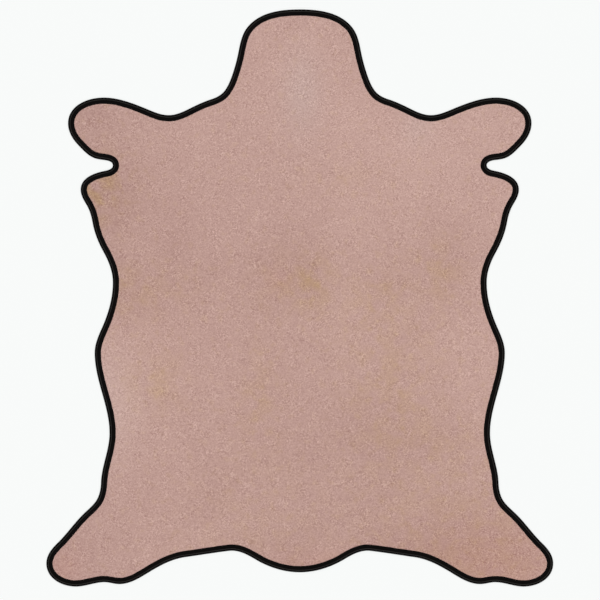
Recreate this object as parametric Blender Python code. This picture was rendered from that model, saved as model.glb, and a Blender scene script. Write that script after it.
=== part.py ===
"""A flat rug of suede leather, cut to the outline of an animal's hide and bound in black leather.

Two sub-parts, each one closed solid:
    hide      the suede sheet, cut on a folded half pattern, its rim raised a little to enter the binding
    binding   one strip of thin leather folded over the sheet's edge, all the way round it

Metres, +Z up. The head lies towards +Y and the hind feet towards -Y. The origin is on the surface
that the rug lies on, below the middle of its outline.
"""

import math
from collections import namedtuple

import bmesh
import bpy

# The sheet and the strip
SHEET_THICKNESS = 0.003
STRIP_THICKNESS = 0.0012
BINDING_WIDTH = 0.021
GAP = 0.0003

# The binding's section: a soft crown a third of the way in, and a thinned inner edge
CROWN_INSET = 0.0068
CROWN_RISE = 0.0006
SLOPE_INSET = 0.0140
INNER_EDGE_DROP = 0.0004
LOWER_FOLD_RADIUS = 0.0030
CHANNEL_END_INSET = 0.0013
CHANNEL_CORNER_INSET = 0.0030
FOLD_STEPS_BELOW = 2
FOLD_STEPS_ABOVE = 3

# The sheet's rim inside the binding, and how it comes down to the surface beside it
SHEET_EDGE_INSET = 0.0035
RAISED_UNTIL_INSET = 0.0235
FLAT_FROM_INSET = 0.0450

# Heights that follow from the thicknesses
RIM_BOTTOM = STRIP_THICKNESS + GAP
RIM_TOP = RIM_BOTTOM + SHEET_THICKNESS
CHANNEL_ROOF = RIM_TOP + GAP
BINDING_TOP = CHANNEL_ROOF + STRIP_THICKNESS
CROWN_TOP = BINDING_TOP + CROWN_RISE

# The outline is divided into straight steps no longer than this, and that turn no more than this
LONGEST_STEP = 0.060
LARGEST_TURN_DEG = 15.0

# The half pattern, cut on the fold: millimetres from the centre line and towards the head from the
# middle, and the direction of travel, anticlockwise from straight across, on the way round to the tail
MILLIMETRE = 0.001
Landmark = namedtuple("Landmark", "name across along heading_deg")
HALF_PATTERN = [
    Landmark("head top", 0, 1050, 0),
    Landmark("head corner", 191, 984, -52),
    Landmark("cheek", 222, 898, -79),
    Landmark("neck", 242, 821, -72),
    Landmark("neck hollow", 273, 754, -53),
    Landmark("neck foot", 322, 723, -18),
    Landmark("shoulder", 389, 695, -26),
    Landmark("shoulder dip", 477, 665, 0),
    Landmark("foreleg rise", 568, 692, 22),
    Landmark("foreleg top", 714, 729, 0),
    Landmark("foreleg tip", 843, 636, -90),
    Landmark("foreleg heel", 806, 557, -134),
    Landmark("foreleg back", 742, 508, -164),
    Landmark("notch mouth", 706, 502, -171),
    Landmark("notch end", 680, 483, -90),
    Landmark("notch foot", 706, 463, -11),
    Landmark("elbow", 797, 396, -88),
    Landmark("below the elbow", 776, 340, -121),
    Landmark("chest", 754, 276, -100),
    Landmark("ribs", 714, 168, -119),
    Landmark("front waist", 680, 60, -91),
    Landmark("belly rise", 720, -110, -66),
    Landmark("belly", 746, -200, -90),
    Landmark("rear waist", 692, -492, -90),
    Landmark("knee", 723, -672, -88),
    Landmark("hock", 746, -746, -51),
    Landmark("shank", 781, -781, -43),
    Landmark("ankle", 882, -893, -44),
    Landmark("foot tip", 922, -966, -90),
    Landmark("foot bottom", 815, -1050, -180),
    Landmark("toe dent", 711, -1034, -180),
    Landmark("second toe", 657, -1041, -180),
    Landmark("inner leg", 543, -994, -211),
    Landmark("groin", 418, -943, -188),
    Landmark("arch top", 258, -920, -187),
    Landmark("tail root", 163, -950, -149),
    Landmark("tail", 0, -998, -180),
]

# Finishes: linear colour, roughness
SUEDE = ((0.515, 0.328, 0.283), 0.95)
BLACK_LEATHER = ((0.008, 0.007, 0.006), 0.50)

# A place on the outline, and the direction that points straight out of it
Station = namedtuple("Station", "x y out_x out_y")


def clear_scene():
    for item in list(bpy.data.objects):
        bpy.data.objects.remove(item, do_unlink=True)


def leather(name, finish):
    colour, roughness = finish
    material = bpy.data.materials.new(name)
    material.use_nodes = True
    shader = material.node_tree.nodes["Principled BSDF"]
    shader.inputs["Base Color"].default_value = (*colour, 1.0)
    shader.inputs["Roughness"].default_value = roughness
    shader.inputs["Metallic"].default_value = 0.0
    return material


def span_controls(start, end):
    """The four control points of the curve between two landmarks.

    Each handle is as long as a round arc with the same chord and the same turn would need.
    """
    first = (start.across * MILLIMETRE, start.along * MILLIMETRE)
    last = (end.across * MILLIMETRE, end.along * MILLIMETRE)
    turn = math.radians(end.heading_deg - start.heading_deg)
    reach = math.dist(first, last) / (3.0 * math.cos(turn / 4.0) ** 2)
    leave = math.radians(start.heading_deg)
    arrive = math.radians(end.heading_deg)
    second = (first[0] + reach * math.cos(leave), first[1] + reach * math.sin(leave))
    third = (last[0] - reach * math.cos(arrive), last[1] - reach * math.sin(arrive))
    return first, second, third, last


def station_on_span(controls, share):
    """The place at this share of a span, with the outward direction to the left of travel."""
    rest = 1.0 - share
    weights = (rest**3, 3.0 * rest**2 * share, 3.0 * rest * share**2, share**3)
    slopes = (-(rest**2), rest**2 - 2.0 * rest * share, 2.0 * rest * share - share**2, share**2)
    x = sum(weight * point[0] for weight, point in zip(weights, controls))
    y = sum(weight * point[1] for weight, point in zip(weights, controls))
    along_x = sum(slope * point[0] for slope, point in zip(slopes, controls))
    along_y = sum(slope * point[1] for slope, point in zip(slopes, controls))
    length = math.hypot(along_x, along_y)
    return Station(x, y, -along_y / length, along_x / length)


def steps_in_span(start, end):
    chord = math.hypot(end.across - start.across, end.along - start.along) * MILLIMETRE
    turn = abs(end.heading_deg - start.heading_deg)
    return max(1, math.ceil(chord / LONGEST_STEP), math.ceil(turn / LARGEST_TURN_DEG))


def outline():
    """Stations all the way round: down the pattern's half, then back up its mirrored half."""
    half = []
    for start, end in zip(HALF_PATTERN, HALF_PATTERN[1:]):
        controls = span_controls(start, end)
        steps = steps_in_span(start, end)
        half += [station_on_span(controls, step / steps) for step in range(steps)]
    last_span = span_controls(HALF_PATTERN[-2], HALF_PATTERN[-1])
    half.append(station_on_span(last_span, 1.0))
    mirrored = [Station(-s.x, s.y, -s.out_x, s.out_y) for s in reversed(half[1:-1])]
    return half + mirrored


def add_ring(mesh, stations, inset, height):
    """One vertex for each station, moved inwards from the outline and up to a height."""
    return [
        mesh.verts.new((s.x - inset * s.out_x, s.y - inset * s.out_y, height)) for s in stations
    ]


def join_rings(mesh, ring, following):
    count = len(ring)
    for index in range(count):
        after = (index + 1) % count
        mesh.faces.new((ring[index], ring[after], following[after], following[index]))


def add_object(name, mesh, material):
    bmesh.ops.recalc_face_normals(mesh, faces=mesh.faces)
    data = bpy.data.meshes.new(name)
    mesh.to_mesh(data)
    mesh.free()
    data.materials.append(material)
    data.shade_smooth()
    data.set_sharp_from_angle(angle=math.radians(40.0))
    item = bpy.data.objects.new(name, data)
    bpy.context.collection.objects.link(item)
    return item


def make_hide(stations):
    """The sheet: flat on the surface, with its last few centimetres raised into the binding."""
    section = [
        (FLAT_FROM_INSET, 0.0),
        (RAISED_UNTIL_INSET, RIM_BOTTOM),
        (SHEET_EDGE_INSET, RIM_BOTTOM),
        (SHEET_EDGE_INSET, RIM_TOP),
        (RAISED_UNTIL_INSET, RIM_TOP),
        (FLAT_FROM_INSET, SHEET_THICKNESS),
    ]
    mesh = bmesh.new()
    rings = [add_ring(mesh, stations, inset, height) for inset, height in section]
    for ring, following in zip(rings, rings[1:]):
        join_rings(mesh, ring, following)
    underside = mesh.faces.new(rings[0])
    face = mesh.faces.new(rings[-1])
    bmesh.ops.triangulate(mesh, faces=[underside, face])
    return add_object("hide", mesh, leather("hide", SUEDE))


def fold_arc(centre_inset, centre_height, reach_out, reach_up, steps, start_deg):
    """A quarter of an ellipse of the fold, as insets and heights, without its last point.

    The angle starts at start_deg, is measured from straight out of the outline, and rises.
    """
    points = []
    for step in range(steps):
        angle = math.radians(start_deg + 90.0 * step / steps)
        inset = centre_inset - reach_out * math.cos(angle)
        height = centre_height + reach_up * math.sin(angle)
        points.append((inset, height))
    return points


def binding_section():
    """Insets and heights round the folded strip, from its lower inner corner out and back."""
    fold_height = LOWER_FOLD_RADIUS
    lower_quarter = fold_arc(
        LOWER_FOLD_RADIUS, fold_height, LOWER_FOLD_RADIUS, fold_height, FOLD_STEPS_BELOW, -90.0
    )
    upper_quarter = fold_arc(
        CROWN_INSET, fold_height, CROWN_INSET, CROWN_TOP - fold_height, FOLD_STEPS_ABOVE, 0.0
    )
    outside = [
        (BINDING_WIDTH, 0.0),
        *lower_quarter,
        *upper_quarter,
        (CROWN_INSET, CROWN_TOP),
        (SLOPE_INSET, BINDING_TOP + CROWN_RISE / 3.0),
        (BINDING_WIDTH, BINDING_TOP - INNER_EDGE_DROP),
    ]
    channel = [
        (BINDING_WIDTH, CHANNEL_ROOF),
        (CROWN_INSET, CHANNEL_ROOF + CROWN_RISE),
        (CHANNEL_CORNER_INSET, CHANNEL_ROOF),
        (CHANNEL_END_INSET, fold_height),
        (CHANNEL_CORNER_INSET, STRIP_THICKNESS),
        (BINDING_WIDTH, STRIP_THICKNESS),
    ]
    return outside + channel


def make_binding(stations):
    """The strip: its section carried round the whole outline as one closed loop."""
    mesh = bmesh.new()
    rings = [add_ring(mesh, stations, inset, height) for inset, height in binding_section()]
    for ring, following in zip(rings, rings[1:] + rings[:1]):
        join_rings(mesh, ring, following)
    return add_object("binding", mesh, leather("binding", BLACK_LEATHER))


def main():
    clear_scene()
    stations = outline()
    make_hide(stations)
    make_binding(stations)


main()
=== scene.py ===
"""A suede rug cut to the outline of an animal's hide and bound in black leather.

The file is laid out as a Blender add-on and is run as a script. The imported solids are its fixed
frame, and each piece stands for one of them or is sewn on one:

    suede_sheet          stands for the node hide
    edge_binding         stands for the node binding
    face_stitches        the binding's seam, as it shows on the face
    underside_stitches   the same seam below

Metres, +Z up, with the head towards +Y. The rug lies on the floor at z = 0.
"""

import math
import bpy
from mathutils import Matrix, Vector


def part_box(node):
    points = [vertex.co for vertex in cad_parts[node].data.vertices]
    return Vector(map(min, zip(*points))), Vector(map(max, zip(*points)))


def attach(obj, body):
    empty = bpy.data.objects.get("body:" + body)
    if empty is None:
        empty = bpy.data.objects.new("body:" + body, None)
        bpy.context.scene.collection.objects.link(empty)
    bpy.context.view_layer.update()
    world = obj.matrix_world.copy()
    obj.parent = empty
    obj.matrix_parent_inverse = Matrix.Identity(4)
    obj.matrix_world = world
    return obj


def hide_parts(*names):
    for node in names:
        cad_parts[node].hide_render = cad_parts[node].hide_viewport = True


bl_info = {
    "name": "Suede hide rug",
    "version": (1, 0, 0),
    "blender": (4, 5, 0),
    "location": "View3D > Sidebar > Hide Rug",
    "description": "Makes a bound suede rug round its packed solids, and the stage that it is shown on",
    "category": "Object",
}

from collections import namedtuple

import bpy
import mathutils
import numpy as np

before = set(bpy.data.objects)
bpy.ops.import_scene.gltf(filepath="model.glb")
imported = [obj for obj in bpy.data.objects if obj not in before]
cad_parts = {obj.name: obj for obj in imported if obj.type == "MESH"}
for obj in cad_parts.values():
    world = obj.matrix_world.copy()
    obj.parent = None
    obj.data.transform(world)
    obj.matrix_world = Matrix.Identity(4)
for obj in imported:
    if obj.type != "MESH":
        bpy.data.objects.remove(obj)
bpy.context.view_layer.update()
BINDING_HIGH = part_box("binding")[1]
SHEET_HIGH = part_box("hide")[1]

BODY = "root"
MILLIMETRE = 0.001
FLOOR_HEIGHT = -0.0002

# The half pattern, cut on the fold: millimetres from the centre line and towards the head from the
# middle, and the direction of travel, anticlockwise from straight across, on the way round to the tail
Landmark = namedtuple("Landmark", "name across along heading_deg")
HALF_PATTERN = [Landmark(*row) for row in (
    ("head top", 0, 1050, 0),
    ("head corner", 191, 984, -52),
    ("cheek", 222, 898, -79),
    ("neck", 242, 821, -72),
    ("neck hollow", 273, 754, -53),
    ("neck foot", 322, 723, -18),
    ("shoulder", 389, 695, -26),
    ("shoulder dip", 477, 665, 0),
    ("foreleg rise", 568, 692, 22),
    ("foreleg top", 714, 729, 0),
    ("foreleg tip", 843, 636, -90),
    ("foreleg heel", 806, 557, -134),
    ("foreleg back", 742, 508, -164),
    ("notch mouth", 706, 502, -171),
    ("notch end", 680, 483, -90),
    ("notch foot", 706, 463, -11),
    ("elbow", 797, 396, -88),
    ("below the elbow", 776, 340, -121),
    ("chest", 754, 276, -100),
    ("ribs", 714, 168, -119),
    ("front waist", 680, 60, -91),
    ("belly rise", 720, -110, -66),
    ("belly", 746, -200, -90),
    ("rear waist", 692, -492, -90),
    ("knee", 723, -672, -88),
    ("hock", 746, -746, -51),
    ("shank", 781, -781, -43),
    ("ankle", 882, -893, -44),
    ("foot tip", 922, -966, -90),
    ("foot bottom", 815, -1050, -180),
    ("toe dent", 711, -1034, -180),
    ("second toe", 657, -1041, -180),
    ("inner leg", 543, -994, -211),
    ("groin", 418, -943, -188),
    ("arch top", 258, -920, -187),
    ("tail root", 163, -950, -149),
    ("tail", 0, -998, -180),
)]

# How the outline is divided: samples on each span, and how much closer stations lie where it turns
SAMPLES_PER_SPAN = 200
TURN_CROWDING = 0.045

# The sheet's rim is raised to enter the binding, and comes down to the floor beside it
RIM_LIFT = 0.0015
RAISED_UNTIL_INSET = 0.0235
FLAT_FROM_INSET = 0.0450
LATTICE_FROM_INSET = 0.0310
FACE_ROWS = (0.0035, 0.0120, 0.0180, 0.0205, 0.0220, 0.0235, 0.0252, 0.0275, LATTICE_FROM_INSET)
UNDERSIDE_ROWS = (LATTICE_FROM_INSET, 0.0260, 0.0200, 0.0035)

# The suede beside the seam: a soft roll where the binding bites into it, and small puckers along it
ROLL_INSET = 0.0264
ROLL_HALF_WIDTH = 0.0026
ROLL_RISE = 0.00028
PUCKER_INSET = 0.0275
PUCKER_HALF_WIDTH = 0.0075
PUCKER_RISE = 0.00026
UNEVENNESS_FADE = 0.0550

# Waves in the sheet and the strip: the shortest and the longest in metres, how many, and a seed
Waves = namedtuple("Waves", "shortest longest count seed")
BROAD_WAVES = Waves(0.24, 0.60, 14, 11)
SMALL_WAVES = Waves(0.06, 0.15, 24, 12)
PUCKER_WAVES = Waves(0.016, 0.050, 24, 13)
WANDER_WAVES = Waves(0.035, 0.16, 24, 21)
SWELL_WAVES = Waves(0.030, 0.12, 24, 22)
PLEAT_WAVES = Waves(0.006, 0.011, 24, 23)

# The broad waves' share of the sheet's unevenness, the crown's rise and fall as a share of the edge's
# wander, and the radius of a turn at which, or below which, the pleats have their full height
BROAD_SHARE = 0.78
SWELL_SHARE = 0.4
FULL_PLEAT_RADIUS = 0.05

# The lattice that fills the sheet: the least distance of its points from the rows beside it, as a share
# of its step, and the number of parts in which its points are measured
LATTICE_CLEARANCE = 0.6
LATTICE_PARTS = 64

# The binding's section, in millimetres: inset from the outline, and height above the floor. It runs
# from the lower inner corner out along the underside, round the fold and back over the crown
STRIP_UNDERSIDE = (
    (22.3, 0.45), (22.0, 0.0), (19.8, 0.0), (19.3, 0.50), (18.2, 0.50), (17.7, 0.0), (9.0, 0.0),
)
STRIP_FACE = (
    (9.3, 6.52), (12.6, 6.34), (16.9, 6.04), (17.7, 5.84), (18.2, 5.62),
    (19.3, 5.56), (19.9, 5.72), (20.8, 5.70), (21.9, 5.56), (22.3, 5.36),
)
STRIP_CHANNEL = (
    (22.3, 4.56), (14.0, 4.95), (6.8, 5.40), (3.0, 4.80), (1.3, 3.00), (3.0, 1.20), (22.3, 1.20),
)

# The fold between them, its rubbed crest, whose paler colour is also a painted highlight, the needle
# holes, and the grooves that the seam lies in, in metres. A hole's edge is from its middle, and its
# depth is in heights of a pebble of the grain
FOLD_HEIGHT = 0.0030
LOWER_FOLD_INSET = 0.0030
FOLD_BULGE = 0.0007
CROWN_INSET = 0.0068
LOWER_FOLD_STEPS = 4
UPPER_FOLD_STEPS = 8
FOLD_SQUARENESS = 0.78
CREST_INSET = 0.0072
CREST_HALF_WIDTH = 0.0007
HOLE_HALF_WIDTH = 0.0009
HOLE_EDGE = (0.0001, 0.0006)
HOLE_DEPTH = 3.0
SEAM_INSET = 0.01875
FACE_GROOVE_HEIGHT = 0.00559
UNDERSIDE_GROOVE_HEIGHT = 0.00050
GROOVE_HALF_WIDTH = 0.0007
GROOVE_HALF_DEPTH = 0.0002

# The map that a baked picture is laid out on: a free margin, the share of the width that the sheet's
# face takes, and how many lengths the strip is cut into
BAKE_MAP = "OFBake"
BAKE_MARGIN = 0.004
BAKED_FACE_SHARE = 0.74
BAKED_STRIPS = 9


def length_property(name, description, default, low, high, precision=4):
    """A length that a user can change, within the range in which the rug holds together."""
    return bpy.props.FloatProperty(
        name=name,
        description=description,
        default=default,
        min=low,
        max=high,
        precision=precision,
        unit="LENGTH",
    )


def colour_property(name, description, default):
    """A colour that a user can change, in linear red, green and blue."""
    return bpy.props.FloatVectorProperty(
        name=name,
        description=description,
        default=default,
        min=0.0,
        max=1.0,
        size=3,
        subtype="COLOR",
    )


def number_property(name, description, default, low, high, subtype="NONE"):
    """A number or share that a user can change, or an angle, which is given here in degrees."""
    if subtype == "ANGLE":
        default, low, high = (math.radians(degrees) for degrees in (default, low, high))
    return bpy.props.FloatProperty(
        name=name, description=description, default=default, min=low, max=high, subtype=subtype
    )


class SheetSettings(bpy.types.PropertyGroup):
    """Sizes and colours of the suede sheet."""

    thickness: length_property(
        "Thickness", "Thickness of the suede", SHEET_HIGH.z - RIM_LIFT, 0.001, 0.006
    )
    station_step: length_property(
        "Edge step", "Longest step along the outline, on its straight runs", 0.005, 0.003, 0.02
    )
    face_step: length_property(
        "Face step", "Distance between the mesh points on the face", 0.0095, 0.006, 0.05
    )
    underside_step: length_property(
        "Underside step", "Distance between the mesh points on the underside", 0.018, 0.006, 0.08
    )
    unevenness: length_property(
        "Unevenness", "How high the sheet's soft waves stand off the floor", 0.0013, 0.0, 0.004
    )
    fleck_size: length_property(
        "Fleck size", "Distance between the light and dark flecks of the nap", 0.0052, 0.001, 0.05
    )
    face_colour: colour_property("Suede", "Colour of the dyed face", (0.487, 0.310, 0.2715))
    ochre_colour: colour_property(
        "Ochre patches", "Colour of the patches where the dye has taken less", (0.463, 0.296, 0.192)
    )
    flesh_colour: colour_property("Flesh side", "Colour of the underside", (0.430, 0.300, 0.245))


class BindingSettings(bpy.types.PropertyGroup):
    """Sizes and colours of the folded strip and its seam."""

    crown_height: length_property(
        "Crown height", "Highest line of the binding above the floor", BINDING_HIGH.z, 0.005, 0.012
    )
    edge_wander: length_property(
        "Edge wander", "How far the inner edge strays from an even width", 0.0003, 0.0, 0.001
    )
    pleat_rise: length_property(
        "Pleat rise", "Height of the small pleats in the strip's tight turns", 0.00016, 0.0, 0.0004, 5
    )
    grain_size: length_property(
        "Grain size", "Width of one pebble of the leather's grain", 0.0011, 0.0003, 0.005
    )
    stitch_pitch: length_property(
        "Stitch pitch", "Distance from one needle hole to the next", 0.0045, 0.003, 0.01
    )
    thread_width: length_property("Thread", "Diameter of the sewing thread", 0.0008, 0.0003, 0.0015)
    leather_colour: colour_property("Binding", "Colour of the binding leather", (0.0034, 0.0028, 0.0026))
    # The crown's paler colour is partly rubbing and partly a painted highlight along the crest
    rubbed_highlight_colour: colour_property(
        "Rubbed crown highlight", "Colour of the binding where it is rubbed along its crown", (0.050, 0.047, 0.044)
    )
    thread_colour: colour_property("Thread colour", "Colour of the thread", (0.0045, 0.0042, 0.0040))


class StageSettings(bpy.types.PropertyGroup):
    """The floor, the light and the camera."""

    floor_colour: colour_property("Floor", "Colour of the floor", (0.890, 0.905, 0.898))
    floor_glow: number_property(
        "Floor glow", "Share of its brightness that the floor gives off itself", 0.75, 0.0, 1.0, "FACTOR"
    )
    floor_width: length_property("Floor width", "Width of the square floor", 160.0, 4.0, 400.0, 2)
    light_level: number_property(
        "Light", "Light on the floor, where 1 shows a surface in its own colour", 1.06, 0.0, 4.0
    )
    light_low: number_property(
        "Light from", "Elevation at which the soft light begins", 26.0, 0.0, 60.0, "ANGLE"
    )
    light_high: number_property(
        "Light to", "Elevation at which it ends, below the dark ceiling", 66.0, 30.0, 90.0, "ANGLE"
    )
    lens: number_property(
        "Lens", "Focal length of the camera, in millimetres, on a 36 mm sensor", 135.0, 20.0, 400.0
    )
    frame_width: length_property(
        "Frame width", "Width of the floor that the picture takes in", 2.18514, 0.5, 10.0
    )


class HideRugSettings(bpy.types.PropertyGroup):
    """Everything about the rug that a user would change."""

    sheet: bpy.props.PointerProperty(type=SheetSettings)
    binding: bpy.props.PointerProperty(type=BindingSettings)
    stage: bpy.props.PointerProperty(type=StageSettings)


Outline = namedtuple("Outline", "points outward arc length bend")


def outline(step):
    """Stations all the way round the outline, clockwise from the top of the head.

    Each span between two landmarks is a cubic curve whose handles are chord / (3 cos(turn / 4)^2)
    long, as a round arc of that turn would need. The half is divided so that stations lie one step
    apart on straight runs, and closer by 1 + TURN_CROWDING / radius where it turns, and is then
    mirrored. The outward direction is the travel turned a quarter to the left.
    """
    places = np.array([(mark.across, mark.along) for mark in HALF_PATTERN]) * MILLIMETRE
    headings = np.radians([mark.heading_deg for mark in HALF_PATTERN])
    chords = np.hypot(*np.diff(places, axis=0).T)
    reach = (chords / (3.0 * np.cos(np.diff(headings) / 4.0) ** 2))[:, None]
    ways = np.column_stack([np.cos(headings), np.sin(headings)])
    handles = (places[:-1], places[:-1] + reach * ways[:-1], places[1:] - reach * ways[1:], places[1:])
    share = np.linspace(0.0, 1.0, SAMPLES_PER_SPAN, endpoint=False)
    rest = 1.0 - share
    weights = np.stack([rest**3, 3.0 * rest**2 * share, 3.0 * rest * share**2, share**3])
    fine = np.einsum("hk,hsc->skc", weights, np.stack(handles)).reshape(-1, 2)
    fine = np.vstack([fine, places[-1]])
    steps = np.hypot(*np.diff(fine, axis=0).T)
    travel = np.unwrap(np.arctan2(*np.diff(fine, axis=0).T[::-1]))
    bend = np.abs(np.gradient(travel)) / steps
    crowded = np.concatenate([[0.0], np.cumsum(steps * (1.0 + TURN_CROWDING * bend))])
    count = math.ceil(crowded[-1] / step)
    at = np.linspace(0.0, crowded[-1], count + 1)
    half = np.column_stack([np.interp(at, crowded, fine[:, axis]) for axis in (0, 1)])
    points = np.vstack([half, half[-2:0:-1] * (-1.0, 1.0)])
    along = np.roll(points, -1, axis=0) - np.roll(points, 1, axis=0)
    along /= np.hypot(*along.T)[:, None]
    outward = np.column_stack([-along[:, 1], along[:, 0]])
    arc, length = arc_lengths(points)
    half_bend = np.interp(at, crowded, np.append(bend, bend[-1]))
    return Outline(points, outward, arc, length, np.concatenate([half_bend, half_bend[-2:0:-1]]))


def arc_lengths(points):
    """Distance travelled to each point of a closed line, and its whole length."""
    gaps = np.linalg.norm(np.roll(points, -1, axis=0) - points, axis=1)
    return np.concatenate([[0.0], np.cumsum(gaps)[:-1]]), gaps.sum()


def cut_area(step):
    """Area of the sheet as cut: half the sum of the cross products of its edge's neighbouring points."""
    line = outline(step)
    edge = line.points - FACE_ROWS[0] * line.outward
    after = np.roll(edge, -1, axis=0)
    return abs(float(np.sum(edge[:, 0] * after[:, 1] - after[:, 0] * edge[:, 1]))) / 2.0


def plane_waves(points, waves):
    """Soft unevenness between 0 and 1 over a plane.

    It is one half plus a scaled sum of plane sine waves, each with a seeded length, direction and phase.
    """
    draw = np.random.default_rng(waves.seed)
    numbers = 2.0 * math.pi / draw.uniform(waves.shortest, waves.longest, waves.count)
    ways = draw.uniform(0.0, 2.0 * math.pi, waves.count)
    phases = draw.uniform(0.0, 2.0 * math.pi, waves.count)
    total = np.sin(points @ np.stack([np.cos(ways), np.sin(ways)]) * numbers + phases).sum(axis=1)
    return np.clip(0.5 + total / (4.0 * math.sqrt(waves.count / 2.0)), 0.0, 1.0)


def ring_waves(arc, length, waves):
    """Unevenness between about -1 and 1 along a closed line.

    It is the scaled sum of sine waves that each fit into the line a seeded whole number of times.
    """
    draw = np.random.default_rng(waves.seed)
    fewest, most = math.ceil(length / waves.longest), math.floor(length / waves.shortest)
    numbers = draw.integers(fewest, most, waves.count)
    phases = draw.uniform(0.0, 2.0 * math.pi, waves.count)
    heights = np.sin(np.outer(arc, numbers) * (2.0 * math.pi / length) + phases)
    return heights.sum(axis=1) / math.sqrt(2.0 * waves.count)


def bell(value, centre, half_width):
    """A soft bump: e to the minus square of the distance from its centre in half widths."""
    return np.exp(-(((value - centre) / half_width) ** 2))


def sheet_heights(points, inset, arc, line, settings):
    """Heights of the sheet's underside and face over places in the plan.

    The underside is RIM_LIFT up inside the binding, comes down along half a cosine wave, and lies on
    soft waves beyond. The face is one thickness above it, with a roll and small puckers by the seam.
    """
    fall = np.clip((inset - RAISED_UNTIL_INSET) / (FLAT_FROM_INSET - RAISED_UNTIL_INSET), 0.0, 1.0)
    lift = 0.5 * RIM_LIFT * (1.0 + np.cos(math.pi * fall))
    fade = 1.0 - bell(np.maximum(inset, LATTICE_FROM_INSET), LATTICE_FROM_INSET, UNEVENNESS_FADE)
    broad = BROAD_SHARE * plane_waves(points, BROAD_WAVES) ** 1.5
    small = (1.0 - BROAD_SHARE) * plane_waves(points, SMALL_WAVES)
    underside = lift + settings.unevenness * fade * (broad + small)
    pucker = ring_waves(arc, line.length, PUCKER_WAVES)
    face = underside + settings.thickness
    face += ROLL_RISE * bell(inset, ROLL_INSET, ROLL_HALF_WIDTH)
    face += PUCKER_RISE * pucker * bell(inset, PUCKER_INSET, PUCKER_HALF_WIDTH)
    face = np.where(inset < RAISED_UNTIL_INSET - ROLL_HALF_WIDTH, underside + settings.thickness, face)
    return underside, face


def triangular_lattice(ring, step):
    """Rows of points a step apart, each row half a step over and sin 60 degrees of a step on."""
    low, high = ring.min(axis=0), ring.max(axis=0)
    rows = np.arange(low[1], high[1], step * math.sin(math.pi / 3.0))
    columns = np.arange(low[0], high[0], step)
    x, y = np.meshgrid(columns, rows)
    x[1::2] += step / 2.0
    return np.column_stack([x.ravel(), y.ravel()])


def measured(points, ring):
    """Whether points lie in a ring, by the even-odd rule, their nearest ring point and its distance."""
    after = np.roll(ring, -1, axis=0)
    rise = np.where(after[:, 1] == ring[:, 1], 1.0, after[:, 1] - ring[:, 1])
    slant = (after[:, 0] - ring[:, 0]) / rise
    x, y = points[:, :1], points[:, 1:]
    spanned = (ring[:, 1] > y) != (after[:, 1] > y)
    crossed = spanned & (x < ring[:, 0] + (y - ring[:, 1]) * slant)
    squares = (x - ring[:, 0]) ** 2 + (y - ring[:, 1]) ** 2
    nearest = squares.argmin(axis=1)
    inside = crossed.sum(axis=1) % 2 == 1
    return inside, nearest, np.sqrt(squares[np.arange(len(points)), nearest])


def lattice_inside(line, start_inset, step):
    """Lattice points start_inset and most of a step inside the outline, and their nearest stations."""
    lattice = triangular_lattice(line.points, step)
    parts = [measured(part, line.points) for part in np.array_split(lattice, LATTICE_PARTS)]
    inside, nearest, distance = (np.concatenate(column) for column in zip(*parts))
    kept = inside & (distance > start_inset + LATTICE_CLEARANCE * step)
    return lattice[kept], nearest[kept], distance[kept]


def filled(ring, inner):
    """Triangles, facing up, that fill a ring and use the inner points. The ring is numbered first."""
    points = np.vstack([ring, inner])
    loop = list(range(len(ring)))
    found, _, faces, *_ = mathutils.geometry.delaunay_2d_cdt(points.tolist(), [], [loop], 1, 0.0)
    if len(found) != len(points) or not np.allclose(np.array(found), points, atol=1e-6):
        raise RuntimeError("the ring crosses itself, so its filling has other corners")
    triangles = np.array(faces)
    first, second, third = (points[triangles[:, corner]] for corner in range(3))
    turn = np.cross(second - first, third - first)
    triangles[turn < 0.0] = triangles[turn < 0.0][:, ::-1]
    return triangles


def cell_corners(grid):
    """What stands at the four corners of each cell of a grid of rows and stations.

    The corners are in the order that makes a cell's face point outwards, where the rows go up the
    outside of a section and the stations clockwise round the rug.
    """
    corners = (grid[:-1, :-1], grid[1:, :-1], grid[1:, 1:], grid[:-1, 1:])
    return np.stack(corners, axis=2).reshape(-1, 4, *grid.shape[2:])


def swept_quads(rows, stations, closed_section):
    """Corner numbers of the quads between rows of stations, which close on themselves."""
    numbers = np.arange(rows * stations).reshape(rows, stations)
    return cell_corners(np.pad(numbers, ((0, int(closed_section)), (0, 1)), mode="wrap"))


def swept_uv(row_places, station_places):
    """Two-number places for the corners of swept_quads: along the strip, and round its section.

    Both lists have one place more than there are rows and stations, so the closing quads don't run back.
    """
    return cell_corners(np.stack(np.meshgrid(station_places, row_places), axis=-1)).reshape(-1, 2)


def make_piece(name, points, faces, materials, sharp_deg):
    """A mesh object from arrays, closed and facing outwards, that rides on the rug."""
    mesh = bpy.data.meshes.new(name)
    mesh.from_pydata(points, [], faces)
    if mesh.validate():
        raise RuntimeError(f"{name} has faces that its mesh can't hold")
    mesh.shade_smooth()
    mesh.set_sharp_from_angle(angle=math.radians(sharp_deg))
    for material in materials:
        mesh.materials.append(material)
    piece = bpy.data.objects.new(name, mesh)
    bpy.context.scene.collection.objects.link(piece)
    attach(piece, BODY)
    return piece


def add_uv_map(piece, name, places):
    """Gives each corner of a piece's faces a place on a flat map."""
    layer = piece.data.uv_layers.new(name=name)
    layer.data.foreach_set("uv", places.astype(np.float32).ravel())


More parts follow.
